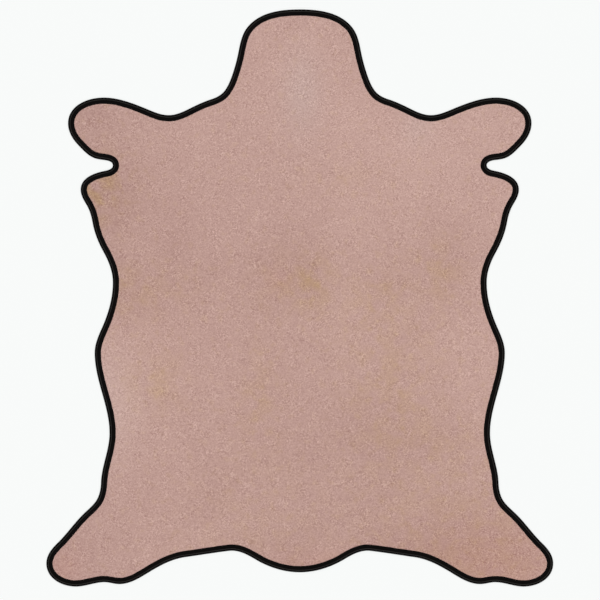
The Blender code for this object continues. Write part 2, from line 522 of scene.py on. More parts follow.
def sheet_bake_places(points, faces, sides):
    """Places of the sheet's face corners in a square picture: the plan's, drawn out to fill its height.

    The face has the left of the picture, as wide as its share, and the underside, mirrored, the rest.
    """
    low, high = points[:, :2].min(axis=0), points[:, :2].max(axis=0)
    plan = BAKE_MARGIN + (1.0 - 2.0 * BAKE_MARGIN) * (points[:, :2] - low) / (high - low)
    corners = np.concatenate([block.ravel() for block in faces])
    counts = np.concatenate([np.full(len(block), block.shape[1]) for block in faces])
    below = np.repeat(sides, counts) == 1
    u, v = plan[corners].T
    u = np.where(below, 1.0 - (1.0 - BAKED_FACE_SHARE) * u, BAKED_FACE_SHARE * u)
    return np.column_stack([u, v])


def strip_bake_places(places, length, girth):
    """Places of the strip's face corners in a square picture: equal lengths of it, one above another.

    Each length's places are a share of it along and a share of the girth round, between free margins.
    A face that reaches past a length's end stays on it, in the wider margin there.
    """
    along, round_ = places.T
    first = along.reshape(-1, 4)[:, 0]
    number = np.repeat(np.floor(first / length * BAKED_STRIPS), 4)
    u = BAKE_MARGIN + (1.0 - 4.0 * BAKE_MARGIN) * (along / length * BAKED_STRIPS - number)
    v = number + 0.5 - (0.5 - BAKE_MARGIN * BAKED_STRIPS) * (2.0 * round_ / girth - 1.0)
    return np.column_stack([u, v / BAKED_STRIPS])


def add_point_value(piece, name, values):
    """Gives each point of a piece a number that its material reads by name."""
    attribute = piece.data.attributes.new(name, "FLOAT", "POINT")
    attribute.data.foreach_set("value", values.astype(np.float32))


# Broad marks as they lie on the face: places and half widths in metres, and a strength. In the clouds,
# which make the face paler or darker in broad patches, it is a share of the tone, positive where paler.
# In the patches it is how thin the dye is. In the blushes it is a share of the colour's depth, positive
# where rosier.
Mark = namedtuple("Mark", "name across along half_across half_along strength")
CLOUDS = [Mark(*row) for row in (
    ("head and neck", 0.01, 0.80, 0.32, 0.33, 0.062),
    ("right neck foot", 0.18, 0.64, 0.05, 0.07, 0.058),
    ("right shoulder", 0.52, 0.44, 0.29, 0.40, 0.116),
    ("right foreleg", 0.80, 0.49, 0.06, 0.40, 0.044),
    ("left shoulder", -0.36, 0.57, 0.06, 0.13, 0.027),
    ("left foreleg", -0.76, 0.70, 0.11, 0.16, -0.089),
    ("left elbow", -0.70, 0.37, 0.17, 0.17, -0.115),
    ("left flank", -0.70, 0.03, 0.26, 0.13, -0.080),
    ("left back", -0.44, 0.23, 0.08, 0.14, -0.046),
    ("middle of the back", 0.07, 0.10, 0.34, 0.15, -0.073),
    ("right back", 0.55, 0.20, 0.16, 0.25, -0.105),
    ("right of the spine", 0.17, 0.08, 0.10, 0.25, 0.077),
    ("left waist", -0.74, -0.36, 0.20, 0.23, 0.116),
    ("right flank", 0.61, -0.22, 0.17, 0.33, 0.063),
    ("loin", 0.29, -0.51, 0.38, 0.14, -0.057),
    ("left rump", -0.32, -0.67, 0.08, 0.12, -0.049),
    ("right rump", 0.28, -0.70, 0.09, 0.07, -0.042),
    ("left thigh", -0.63, -0.76, 0.23, 0.06, -0.034),
    ("tail", -0.03, -1.02, 0.15, 0.40, -0.047),
    ("right hind leg", 0.52, -0.93, 0.39, 0.15, -0.105),
    ("left hind foot", -0.84, -1.03, 0.19, 0.25, -0.073),
)]
OCHRE_PATCHES = [Mark(*row) for row in (
    ("middle of the back", -0.02, 0.04, 0.14, 0.13, 0.41),
    ("right of the spine", 0.05, 0.07, 0.06, 0.07, 0.80),
    ("right back", 0.51, 0.10, 0.08, 0.11, 0.54),
    ("left haunch", -0.52, -0.30, 0.10, 0.10, 0.60),
    ("left elbow", -0.75, 0.40, 0.11, 0.12, 1.25),
    ("left ribs", -0.67, 0.03, 0.27, 0.10, 0.48),
    ("right waist", 0.27, 0.01, 0.10, 0.07, 0.35),
    ("right loin", 0.33, -0.29, 0.17, 0.35, 0.42),
    ("right thigh", 0.48, -0.51, 0.18, 0.06, 0.20),
    ("right rump", 0.60, -0.88, 0.35, 0.38, 0.34),
    ("left loin", -0.14, -0.35, 0.07, 0.17, 0.45),
    ("tail", -0.15, -0.84, 0.29, 0.30, 0.20),
    ("right shoulder blade", 0.17, 0.44, 0.18, 0.06, 0.20),
)]
BLUSHES = [Mark(*row) for row in (
    ("right hind leg", 0.72, -0.97, 0.30, 0.17, 0.090),
    ("tail", 0.10, -0.96, 0.25, 0.05, 0.045),
    ("left foot tip", -0.86, -0.98, 0.06, 0.06, 0.070),
    ("middle", -0.08, 0.07, 0.05, 0.04, 0.045),
    ("neck", 0.01, 0.75, 0.07, 0.15, -0.125),
    ("left waist", -0.71, -0.39, 0.12, 0.20, -0.070),
    ("right shoulder edge", 0.43, 0.63, 0.06, 0.08, -0.080),
)]


def marks_total(points, marks):
    """Sum over the marks of strength times a bell whose square distance is taken in half widths."""
    total = np.zeros(len(points))
    for mark in marks:
        across = (points[:, 0] - mark.across) / mark.half_across
        along = (points[:, 1] - mark.along) / mark.half_along
        total += mark.strength * np.exp(-(across**2) - along**2)
    return total


def make_suede_sheet(settings):
    """The sheet: rows that follow its rim, and a lattice that fills its face and its underside."""
    line = outline(settings.sheet.station_step)
    rows = []
    for number, inset in enumerate(UNDERSIDE_ROWS + FACE_ROWS):
        plan = line.points - inset * line.outward
        level = np.full(len(plan), inset)
        both = sheet_heights(plan, level, line.arc, line, settings.sheet)
        height = both[0] if number < len(UNDERSIDE_ROWS) else both[1]
        rows.append(np.column_stack([plan, height]))
    stations = len(line.points)
    ring = line.points - LATTICE_FROM_INSET * line.outward
    blocks = list(rows)
    faces = [swept_quads(len(rows), stations, closed_section=False)]
    taken = stations * len(rows)
    fillings = [
        (settings.sheet.face_step, (len(rows) - 1) * stations, 1),
        (settings.sheet.underside_step, 0, 0),
    ]
    for step, ring_start, side in fillings:
        inner, nearest, inset = lattice_inside(line, LATTICE_FROM_INSET, step)
        triangles = filled(ring, inner)
        numbered = np.where(triangles < stations, triangles + ring_start, triangles - stations + taken)
        faces.append(numbered if side else numbered[:, ::-1])
        height = sheet_heights(inner, inset, line.arc[nearest], line, settings.sheet)[side]
        blocks.append(np.column_stack([inner, height]))
        taken += len(inner)
    points = np.vstack(blocks)
    materials = [suede_face(settings.sheet), flesh_side(settings.sheet)]
    piece = make_piece(
        "suede_sheet",
        points,
        [corners for block in faces for corners in block.tolist()],
        materials,
        sharp_deg=50.0,
    )
    sides = np.ones(len(piece.data.polygons), np.int32)
    first_face_row = len(UNDERSIDE_ROWS)
    sides[first_face_row * stations : (len(rows) - 1) * stations] = 0
    sides[len(faces[0]) : len(faces[0]) + len(faces[1])] = 0
    piece.data.polygons.foreach_set("material_index", sides)
    add_uv_map(piece, BAKE_MAP, sheet_bake_places(points, faces, sides))
    for name, marks in (("cloud", CLOUDS), ("ochre", OCHRE_PATCHES), ("blush", BLUSHES)):
        add_point_value(piece, name, marks_total(points, marks))
    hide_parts("hide")


def binding_section(crown_height):
    """Insets and heights round the strip, in metres, from its lower inner corner out and back.

    The fold stands FOLD_BULGE out of the pattern's line. Its lower quarter is part of an ellipse. Its
    upper quarter reaches the crown along a superellipse, an ellipse whose cosine and sine are raised
    to FOLD_SQUARENESS, below 1 so that its top is flatter.
    """
    lower = np.radians(np.linspace(0.0, 90.0, LOWER_FOLD_STEPS, endpoint=False))
    upper = np.radians(np.linspace(0.0, 90.0, UPPER_FOLD_STEPS))
    rise = crown_height - FOLD_HEIGHT
    inset_below = LOWER_FOLD_INSET - (LOWER_FOLD_INSET + FOLD_BULGE) * np.sin(lower)
    quarter_below = np.column_stack([inset_below, FOLD_HEIGHT * (1.0 - np.cos(lower))])
    inset_above = CROWN_INSET - (CROWN_INSET + FOLD_BULGE) * np.cos(upper) ** FOLD_SQUARENESS
    height_above = FOLD_HEIGHT + rise * np.sin(upper) ** FOLD_SQUARENESS
    quarter_above = np.column_stack([inset_above, height_above])
    underside, face, channel = (
        np.array(table) * MILLIMETRE for table in (STRIP_UNDERSIDE, STRIP_FACE, STRIP_CHANNEL)
    )
    return np.vstack([underside, quarter_below, quarter_above, face, channel])


def split_section(section):
    """The section's rows above the fold, whose insets rise, and its underside's, whose insets fall."""
    fold = len(STRIP_UNDERSIDE) + LOWER_FOLD_STEPS
    return slice(fold, fold + UPPER_FOLD_STEPS + len(STRIP_FACE)), slice(0, len(STRIP_UNDERSIDE))


def binding_surface(section, line, settings):
    """The section carried round the outline, with what a hand-laid strip adds.

    Towards its inner edge the strip strays a little in width. Its crown rises and falls a little, and
    where it turns tightly it has small pleats, as high as the turn is tight, from the crown inwards.
    """
    inset, height = section[:, :1], section[:, 1:]
    inner_share = np.clip((inset - CROWN_INSET) / (SEAM_INSET - CROWN_INSET), 0.0, 1.0)
    upper_share = np.clip((height - FOLD_HEIGHT) / FOLD_HEIGHT, 0.0, 1.0)
    wander = ring_waves(line.arc, line.length, WANDER_WAVES) * settings.edge_wander
    swell = ring_waves(line.arc, line.length, SWELL_WAVES) * settings.edge_wander * SWELL_SHARE
    tightness = np.clip(line.bend * FULL_PLEAT_RADIUS, 0.0, 1.0)
    pleats = ring_waves(line.arc, line.length, PLEAT_WAVES) * tightness
    reach = inset + inner_share * wander
    rise = height + upper_share * (swell + settings.pleat_rise * inner_share * pleats)
    x = line.points[:, 0] - reach * line.outward[:, 0]
    y = line.points[:, 1] - reach * line.outward[:, 1]
    return np.stack([x, y, rise], axis=-1)


def laid_strip(settings):
    """The strip's section, and its surface as a grid of places: section rows by outline stations."""
    section = binding_section(settings.binding.crown_height)
    line = outline(settings.sheet.station_step)
    return section, binding_surface(section, line, settings.binding)


def make_edge_binding(settings):
    """The strip: its section carried round the whole outline as one closed loop."""
    section, surface = laid_strip(settings)
    rows, stations, _ = surface.shape
    quads = swept_quads(rows, stations, closed_section=True)
    seam = seam_path(surface, section, FACE_GROOVE_HEIGHT)
    along, seam_length = arc_lengths(seam[:, :2])
    pitch = seam_length / round(seam_length / settings.binding.stitch_pitch)
    round_, section_length = arc_lengths(section)
    above, below = split_section(section)
    crest_place = np.interp(CREST_INSET, section[above, 0], round_[above])
    seam_places = [
        np.interp(SEAM_INSET, section[above, 0], round_[above]),
        np.interp(-SEAM_INSET, -section[below, 0], round_[below]),
    ]
    piece = make_piece(
        "edge_binding",
        surface.reshape(-1, 3),
        quads.tolist(),
        [binding_leather(settings.binding, float(crest_place), seam_places, pitch)],
        sharp_deg=55.0,
    )
    places = swept_uv(np.append(round_, section_length), np.append(along, seam_length))
    add_uv_map(piece, "strip", places)
    add_uv_map(piece, BAKE_MAP, strip_bake_places(places, seam_length, section_length))
    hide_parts("binding")


def seam_path(surface, section, groove_height):
    """The middle of a groove round the rug: the mean of the section's two rows at its bottom."""
    inset, height = section[:, 0], section[:, 1]
    across = np.abs(inset - SEAM_INSET) < GROOVE_HALF_WIDTH
    level = np.abs(height - groove_height) < GROOVE_HALF_DEPTH
    return surface[across & level].mean(axis=0)


# One stitch: places along it and heights of its middle in millimetres, and its thickness as a share.
# They are those of a stitch of the pitch below, and grow with the pitch along it. Its direction is the
# path's over a share of the pitch on either side
STITCH_RINGS = (
    (-1.85, -0.50, 0.45),
    (-1.45, -0.12, 0.88),
    (0.0, 0.0, 1.0),
    (1.45, -0.12, 0.88),
    (1.85, -0.50, 0.45),
)
STITCH_RINGS_PITCH = 0.0045
STITCH_SIDES = 6
STITCH_SUNK = 0.00012
STITCH_FLATNESS_BELOW = 0.7
STITCH_SLANT = math.radians(6.0)
STITCH_SLANT_SPREAD = math.radians(1.5)
STITCH_REACH = 0.3
STITCH_SEED = 31


def make_stitches(name, path, side, flatness, settings):
    """A row of stitches: a small closed tube repeated at equal steps of a closed path.

    Each is a tube of six sides whose ends dip into the leather. It is turned to the path's direction
    and a few degrees more, as a locked stitch lies. Side is 1 on the face and -1 on the underside.
    Flatness is the thread's height as a share of its width.
    """
    arc, length = arc_lengths(path[:, :2])
    count = round(length / settings.binding.stitch_pitch)
    middles = (np.arange(count) + 0.5) * (length / count)
    closed_arc = np.append(arc, length)
    closed_path = np.vstack([path, path[:1]])
    half_step = STITCH_REACH * length / count
    here, before, after = (
        np.column_stack([np.interp(at % length, closed_arc, closed_path[:, axis]) for axis in range(3)])
        for at in (middles, middles - half_step, middles + half_step)
    )
    draw = np.random.default_rng(STITCH_SEED)
    slant = STITCH_SLANT + draw.normal(0.0, STITCH_SLANT_SPREAD, count)
    travel = np.arctan2(*(after - before)[:, 1::-1].T) + slant
    along = np.column_stack([np.cos(travel), np.sin(travel), np.zeros(count)])
    across = side * np.column_stack([-np.sin(travel), np.cos(travel), np.zeros(count)])
    up = np.array([0.0, 0.0, float(side)])
    rings = np.array(STITCH_RINGS)
    pitch_share = settings.binding.stitch_pitch / STITCH_RINGS_PITCH
    angles = -np.linspace(0.0, 2.0 * math.pi, STITCH_SIDES, endpoint=False)
    radius = settings.binding.thread_width / 2.0
    place = np.repeat(rings[:, 0] * MILLIMETRE * pitch_share, STITCH_SIDES)
    wide = np.outer(rings[:, 2], np.cos(angles)).ravel() * radius
    high = np.outer(rings[:, 2], np.sin(angles)).ravel() * radius * flatness
    high += np.repeat(rings[:, 1] * MILLIMETRE * flatness, STITCH_SIDES)
    high += radius * flatness - STITCH_SUNK
    points = (
        here[:, None]
        + place[None, :, None] * along[:, None]
        + wide[None, :, None] * across[:, None]
        + high[None, :, None] * up
    )
    per_stitch = len(place)
    tube = swept_quads(len(rings), STITCH_SIDES, closed_section=False)
    near_end = list(range(STITCH_SIDES))
    far_end = list(range(per_stitch - 1, per_stitch - 1 - STITCH_SIDES, -1))
    starts = np.arange(count) * per_stitch
    quads = (tube[None] + starts[:, None, None]).reshape(-1, 4)
    ends = (np.array([near_end, far_end])[None] + starts[:, None, None]).reshape(-1, STITCH_SIDES)
    piece = make_piece(
        name,
        points.reshape(-1, 3),
        quads.tolist() + ends.tolist(),
        [sewing_thread(settings.binding)],
        sharp_deg=75.0,
    )
    row_places = (rings[:, 0] - rings[0, 0]) / (rings[-1, 0] - rings[0, 0])
    turns = np.linspace(0.0, 1.0, STITCH_SIDES + 1)
    tube_uv = np.tile(swept_uv(row_places, turns), (count, 1))
    end_uv = np.zeros((len(ends) * STITCH_SIDES, 2))
    add_uv_map(piece, "thread", np.vstack([tube_uv, end_uv]))
    return piece


def make_both_seams(settings):
    """The stitches on the face and those below, which pass through the same holes."""
    section, surface = laid_strip(settings)
    face_path = seam_path(surface, section, FACE_GROOVE_HEIGHT)
    underside_path = seam_path(surface, section, UNDERSIDE_GROOVE_HEIGHT)
    face = make_stitches("face_stitches", face_path, 1, 1.0, settings)
    underside = make_stitches("underside_stitches", underside_path, -1, STITCH_FLATNESS_BELOW, settings)
    return face, underside


class Bench:
    """Sets out the nodes of one tree in columns, and wires them."""

    PER_COLUMN = 4
    COLUMN_WIDTH = 240.0
    ROW_HEIGHT = 220.0

    def __init__(self, tree):
        self.tree = tree
        self.made = 0
        tree.nodes.clear()

    def put(self, kind, inputs=None, **options):
        """A node of this kind, with its options set, and its inputs set or linked by name or number."""
        node = self.tree.nodes.new(kind)
        column, row = divmod(self.made, self.PER_COLUMN)
        node.location = (self.COLUMN_WIDTH * column, -self.ROW_HEIGHT * row)
        self.made += 1
        for name, value in options.items():
            setattr(node, name, value)
        self.feed_all(node.inputs, inputs or {})
        return node

    def feed(self, socket, value):
        """Links an output to an input, or sets the input to a plain value."""
        if isinstance(value, bpy.types.NodeSocket):
            self.tree.links.new(value, socket)
        else:
            socket.default_value = value

    def feed_all(self, sockets, values):
        """Feeds several inputs, found by name or number."""
        for name, value in values.items():
            self.feed(sockets[name], value)

    def point_value(self, name):
        """The number that each point of the piece carries under this name."""
        return self.put("ShaderNodeAttribute", attribute_name=name).outputs["Fac"]

    def sum_up(self, operation, *values, clamp=False):
        """One step of arithmetic."""
        numbered = dict(enumerate(values))
        return self.put("ShaderNodeMath", numbered, operation=operation, use_clamp=clamp).outputs[0]

    def noise(self, vector, size, detail, roughness):
        """Noise between 0 and 1 whose blobs are about this size in metres."""
        scale = self.sum_up("DIVIDE", 1.0, size)
        inputs = {"Vector": vector, "Scale": scale, "Detail": detail, "Roughness": roughness}
        return self.put("ShaderNodeTexNoise", inputs).outputs["Fac"]

    def about_zero(self, value, strength):
        """A number round one half, brought to round zero and scaled."""
        return self.sum_up("MULTIPLY", self.sum_up("SUBTRACT", value, 0.5), strength)

    def blend(self, share, first, second):
        """A colour between two colours. The node has sockets of the same names for other kinds of value."""
        node = self.put("ShaderNodeMix", data_type="RGBA")
        for name, value in (("Factor", share), ("A", first), ("B", second)):
            self.feed(next(s for s in node.inputs if s.name == name and s.enabled), value)
        return next(output for output in node.outputs if output.enabled)

    def between(self, value, low, high):
        """How far a number has gone from low to high, smoothed at both ends."""
        inputs = {"Value": value, "From Min": low, "From Max": high}
        node = self.put("ShaderNodeMapRange", inputs, interpolation_type="SMOOTHSTEP")
        return node.outputs["Result"]

    def bell(self, value, centre, half_width):
        """A soft bump: e to the minus square of the distance from its centre in half widths."""
        away = self.sum_up("DIVIDE", self.sum_up("SUBTRACT", value, centre), half_width)
        square = self.sum_up("MULTIPLY", away, away)
        return self.sum_up("EXPONENT", self.sum_up("MULTIPLY", square, -1.0))

    def relief(self, height, distance, strength=1.0):
        """Bump from a height between 0 and 1, whose full rise is this distance in metres."""
        inputs = {"Height": height, "Distance": distance, "Strength": strength}
        return self.put("ShaderNodeBump", inputs).outputs["Normal"]


def as_rgba(colour):
    return (*colour, 1.0)


def shaded(colour, factor):
    """A colour made lighter or darker by a factor, within what a surface can reflect."""
    return tuple(min(0.95, part * factor) for part in colour)


# How far the nap's tone swings in red, green and blue: its tips are paler, and its depths richer
NAP_SWING = (0.415, 0.53, 0.525)


def nap_tint(colour, side):
    """The colour of the palest nap, where side is 1, or of the deepest, where it is -1."""
    return tuple(part * (1.0 + side * swing) for part, swing in zip(colour, NAP_SWING))


FLOAT = "NodeSocketFloat"
VECTOR = "NodeSocketVector"


def new_group(name, inputs, outputs):
    """An empty node group with named sockets, its bench, and the sockets to read from and to feed."""
    tree = bpy.data.node_groups.new(name, "ShaderNodeTree")
    for label, kind, value in inputs:
        socket = tree.interface.new_socket(name=label, in_out="INPUT", socket_type=kind)
        if value is not None:
            socket.default_value = value
    for label in outputs:
        tree.interface.new_socket(name=label, in_out="OUTPUT", socket_type=FLOAT)
    bench = Bench(tree)
    given = bench.put("NodeGroupInput").outputs
    result = bench.put("NodeGroupOutput").inputs
    return tree, bench, given, result


# The nap: how its hairs are drawn out along the hide, how many flecks wide the spots are in which the
# flecks are stronger, where such a spot begins and ends in its noise, how much it adds to the strength
# that flecks have outside it, and the hairs' share of the relief
HAIR_STRETCH = (1.0, 0.45, 1.0)
FLECKS_PER_SPOT = 7.0
SPOT_EDGE = (0.34, 0.66)
SPOT_GAIN = 0.8
FLECKS_OUTSIDE = 0.6
HAIR_RELIEF = 0.6

# The ochre patches: where thin dye and specks begin and end in their noise, and how thin specks are
THIN_DYE_EDGE = (0.30, 0.66)
SPECK_EDGE = (0.54, 0.72)
SPECK_THINNESS = 0.22


def nap_mottle_group():
    """Uneven nap or dye: flecks, finer hairs along the hide, and soft clouds, summed to a tone."""
    found = bpy.data.node_groups.get("Nap mottle")
    if found:
        return found
    inputs = [
        ("Vector", VECTOR, None),
        ("Fleck Size", FLOAT, 0.007),
        ("Hair Size", FLOAT, 0.0016),
        ("Cloud Size", FLOAT, 0.25),
        ("Fleck Strength", FLOAT, 1.0),
        ("Hair Strength", FLOAT, 0.5),
        ("Cloud Strength", FLOAT, 0.2),
    ]
    tree, bench, given, result = new_group("Nap mottle", inputs, ["Tone", "Height"])
    vector = given["Vector"]
    stretch = {0: vector, 1: HAIR_STRETCH}
    lying = bench.put("ShaderNodeVectorMath", stretch, operation="MULTIPLY").outputs[0]
    flecks = bench.noise(vector, given["Fleck Size"], 4.0, 0.62)
    spot_size = bench.sum_up("MULTIPLY", given["Fleck Size"], FLECKS_PER_SPOT)
    spots = bench.between(bench.noise(vector, spot_size, 2.0, 0.5), *SPOT_EDGE)
    unevenly = bench.sum_up("MULTIPLY_ADD", spots, SPOT_GAIN, FLECKS_OUTSIDE)
    hairs = bench.noise(lying, given["Hair Size"], 3.0, 0.7)
    clouds = bench.noise(vector, given["Cloud Size"], 3.0, 0.5)
    tone = bench.about_zero(flecks, given["Fleck Strength"])
    tone = bench.sum_up("ADD", tone, bench.about_zero(hairs, given["Hair Strength"]))
    tone = bench.sum_up("MULTIPLY", tone, unevenly)
    tone = bench.sum_up("ADD", tone, bench.about_zero(clouds, given["Cloud Strength"]))
    bench.feed(result["Tone"], bench.sum_up("ADD", tone, 0.5))
    fleck_height = bench.sum_up("MULTIPLY", flecks, 1.0 - HAIR_RELIEF)
    height = bench.sum_up("MULTIPLY_ADD", hairs, HAIR_RELIEF, fleck_height)
    bench.feed(result["Height"], height)
    return tree


# How far in from its crease a pebble's top begins, as a share of the pebble
PEBBLE_SHOULDER = 0.28


def pebble_grain_group():
    """Leather grain: rounded pebbles between creases, and how deep in a crease a place is."""
    found = bpy.data.node_groups.get("Pebble grain")
    if found:
        return found
    inputs = [("Vector", VECTOR, None), ("Grain Size", FLOAT, 0.0011), ("Irregularity", FLOAT, 0.6)]
    tree, bench, given, result = new_group("Pebble grain", inputs, ["Height", "Crease"])
    scale = bench.sum_up("DIVIDE", 1.0, given["Grain Size"])
    waver = {"Vector": given["Vector"], "Scale": scale, "Detail": 1.0}
    drift = bench.put("ShaderNodeTexNoise", waver).outputs["Color"]
    amount = bench.sum_up("MULTIPLY", given["Grain Size"], given["Irregularity"])
    shift = bench.put("ShaderNodeVectorMath", {0: drift, "Scale": amount}, operation="SCALE").outputs[0]
    moved = bench.put("ShaderNodeVectorMath", {0: given["Vector"], 1: shift}, operation="ADD").outputs[0]
    pattern = {"Vector": moved, "Scale": scale}
    cells = bench.put("ShaderNodeTexVoronoi", pattern, feature="DISTANCE_TO_EDGE").outputs["Distance"]
    pebble = bench.between(cells, 0.0, PEBBLE_SHOULDER)
    bench.feed(result["Height"], pebble)
    bench.feed(result["Crease"], bench.sum_up("SUBTRACT", 1.0, pebble))
    return tree


def mottled(bench, place, sizes, strengths):
    """A nap mottle node: sizes and strengths of its flecks, hairs and clouds, and its tone and height."""
    values = {"Vector": place}
    for part, size, strength in zip(("Fleck", "Hair", "Cloud"), sizes, strengths):
        values[f"{part} Size"] = size
        values[f"{part} Strength"] = strength
    outputs = bench.put("ShaderNodeGroup", values, node_tree=nap_mottle_group()).outputs
    return outputs["Tone"], outputs["Height"]


def pebbled(bench, place, size, irregularity):
    """A pebble grain node, and its height and crease."""
    values = {"Vector": place, "Grain Size": size, "Irregularity": irregularity}
    outputs = bench.put("ShaderNodeGroup", values, node_tree=pebble_grain_group()).outputs
    return outputs["Height"], outputs["Crease"]


def two_tone(bench, tone, colour, dark, pale):
    """A colour that goes from a darker shade of itself to a paler one as the tone rises."""
    return bench.blend(tone, as_rgba(shaded(colour, dark)), as_rgba(shaded(colour, pale)))


def new_material(name):
    """A material with a Principled shader, its bench, and the shader's inputs."""
    material = bpy.data.materials.new(name)
    material.use_nodes = True
    bench = Bench(material.node_tree)
    shader = bench.put("ShaderNodeBsdfPrincipled")
    output = bench.put("ShaderNodeOutputMaterial")
    bench.feed(output.inputs["Surface"], shader.outputs["BSDF"])
    return material, bench, shader.inputs


def suede_face(settings):
    """Short brushed nap, dyed pink: flecks where it lies over, clouds, and ochre patches of thin dye."""
    material, bench, shader = new_material("suede_face")
    place = bench.put("ShaderNodeTexCoord").outputs["Object"]
    sizes = (settings.fleck_size, 0.0009, 0.12)
    mottle, nap = mottled(bench, place, sizes, strengths=(1.42, 1.40, 0.11))
    tone = bench.sum_up("ADD", mottle, bench.point_value("cloud"), clamp=True)
    dyed, ochre = (
        bench.blend(tone, as_rgba(nap_tint(dye, -1)), as_rgba(nap_tint(dye, 1)))
        for dye in (settings.face_colour, settings.ochre_colour)
    )
    broken = bench.between(bench.noise(place, 0.060, detail=2.0, roughness=0.45), *THIN_DYE_EDGE)
    specks = bench.between(bench.noise(place, 0.030, detail=2.0, roughness=0.5), *SPECK_EDGE)
    thin = bench.sum_up("MULTIPLY", bench.point_value("ochre"), broken)
    thin = bench.sum_up("MULTIPLY_ADD", specks, SPECK_THINNESS, thin, clamp=True)
    depth = bench.sum_up("ADD", bench.point_value("blush"), 1.0)
    colouring = {"Saturation": depth, "Color": bench.blend(thin, dyed, ochre)}
    finish = {
        "Base Color": bench.put("ShaderNodeHueSaturation", colouring).outputs["Color"],
        "Normal": bench.relief(nap, distance=0.0003, strength=0.7),
        "Roughness": 0.95,
        "Specular IOR Level": 0.15,
        "Sheen Weight": 0.10,
        "Sheen Roughness": 0.55,
        "Sheen Tint": (0.95, 0.80, 0.76, 1.0),
    }
    bench.feed_all(shader, finish)
    return material


def flesh_side(settings):
    """The undressed underside: duller and more fibrous, with the skin's faint grain."""
    material, bench, shader = new_material("flesh_side")
    place = bench.put("ShaderNodeTexCoord").outputs["Object"]
    tone, nap = mottled(bench, place, sizes=(0.014, 0.0032, 0.18), strengths=(0.9, 0.9, 0.5))
    pebble, _ = pebbled(bench, place, size=0.0045, irregularity=0.9)
    tone = bench.sum_up("MINIMUM", tone, 1.0)
    height = bench.sum_up("MULTIPLY_ADD", pebble, 0.25, nap)
    finish = {
        "Base Color": two_tone(bench, tone, settings.flesh_colour, 0.62, 1.38),
        "Normal": bench.relief(height, distance=0.0008, strength=0.8),
        "Roughness": 1.0,
        "Specular IOR Level": 0.1,
        "Sheen Weight": 0.15,
        "Sheen Roughness": 0.6,
    }
    bench.feed_all(shader, finish)
    return material


def binding_leather(settings, crest_place, seam_places, pitch):
    """Black drum-dyed leather with a fine pebble grain, rubbed grey along its crown, where the grey is also
    a painted highlight.

    The strip's UV is in metres along it and round its section. The crown's line and the rows of needle
    holes lie at given places round the section, and the holes one pitch apart.
    """
    material, bench, shader = new_material("binding_leather")
    place = bench.put("ShaderNodeTexCoord").outputs["Object"]
    tone, nap = mottled(bench, place, sizes=(0.006, 0.0006, 0.05), strengths=(0.6, 0.4, 0.6))
    pebble, crease = pebbled(bench, place, settings.grain_size, irregularity=0.7)
    strip = bench.put("ShaderNodeUVMap", uv_map="strip").outputs["UV"]
    along, round_ = bench.put("ShaderNodeSeparateXYZ", {0: strip}).outputs[:2]
    crest = bench.bell(round_, crest_place, CREST_HALF_WIDTH)
    black = two_tone(bench, tone, settings.leather_colour, 0.6, 1.4)
    patchy = bench.sum_up("MULTIPLY_ADD", tone, 0.8, 0.6)
    raised = bench.sum_up("MULTIPLY_ADD", pebble, 0.35, 0.65)
    # The crown's grey line is partly rubbing and partly a painted highlight, stronger on the grain's
    # pebbles
    worn_and_highlight = bench.sum_up("MULTIPLY", bench.sum_up("MULTIPLY", crest, patchy), raised, clamp=True)
    grooves = [bench.bell(round_, float(row), HOLE_HALF_WIDTH) for row in seam_places]
    hole_place = bench.sum_up("PINGPONG", along, pitch / 2.0)
    near_hole = bench.sum_up("SUBTRACT", 1.0, bench.between(hole_place, *HOLE_EDGE))
    hole = bench.sum_up("MULTIPLY", near_hole, bench.sum_up("ADD", *grooves))
    height = bench.sum_up("MULTIPLY_ADD", hole, -HOLE_DEPTH, pebble)
    height = bench.sum_up("MULTIPLY_ADD", nap, 0.6, height)
    rough = bench.sum_up("MULTIPLY_ADD", crease, 0.14, 0.30)
    finish = {
        "Base Color": bench.blend(worn_and_highlight, black, as_rgba(settings.rubbed_highlight_colour)),
        "Normal": bench.relief(height, distance=0.00004, strength=0.6),
        "Roughness": bench.sum_up("MULTIPLY_ADD", worn_and_highlight, -0.06, rough),
        "Specular IOR Level": 0.03,
    }
    bench.feed_all(shader, finish)
    return material


def sewing_thread(settings):
    """Black twisted thread: two strands that wind round each other, and a little fuzz."""
    found = bpy.data.materials.get("sewing_thread")
    if found:
        return found
    material, bench, shader = new_material("sewing_thread")
    place = bench.put("ShaderNodeTexCoord").outputs["Object"]
    tone, fuzz = mottled(bench, place, sizes=(0.0012, 0.00025, 0.02), strengths=(0.7, 0.7, 0.3))
    turns = bench.put("ShaderNodeUVMap", uv_map="thread").outputs["UV"]
    parts = bench.put("ShaderNodeSeparateXYZ", {0: turns}).outputs
    winding = bench.sum_up("MULTIPLY_ADD", parts["Y"], 3.0, bench.sum_up("MULTIPLY", parts["X"], 2.0))
    ridge = bench.sum_up("SINE", bench.sum_up("MULTIPLY", winding, 2.0 * math.pi))
    ridge = bench.sum_up("MULTIPLY_ADD", ridge, 0.5, 0.5)
    # The twist is painted into the colour too: paler on the strands' crests and darker in the grooves
    # between them, as painted shade
    tone = bench.sum_up("MULTIPLY_ADD", ridge, 0.3, bench.sum_up("MULTIPLY", tone, 0.7))
    height = bench.sum_up("MULTIPLY_ADD", fuzz, 0.25, ridge)
    finish = {
        "Base Color": two_tone(bench, tone, settings.thread_colour, 0.5, 1.6),
        "Normal": bench.relief(height, distance=0.00012, strength=0.8),
        "Roughness": 0.70,
        "Specular IOR Level": 0.06,
    }
    bench.feed_all(shader, finish)
    return material


# The stage: how far the light's ring fades on either side of its lower and its upper rim, as a sine of
# elevation, the light that comes from everywhere, and the camera's sensor, plan place and reach
LIGHT_FADE_BELOW = 0.10
LIGHT_FADE_ABOVE = 0.05
FILL_LIGHT = 0.03
SENSOR_WIDTH_MM = 36.0
CAMERA_PLAN = (0.00084, -0.00732)
CAMERA_REACH = 200.0


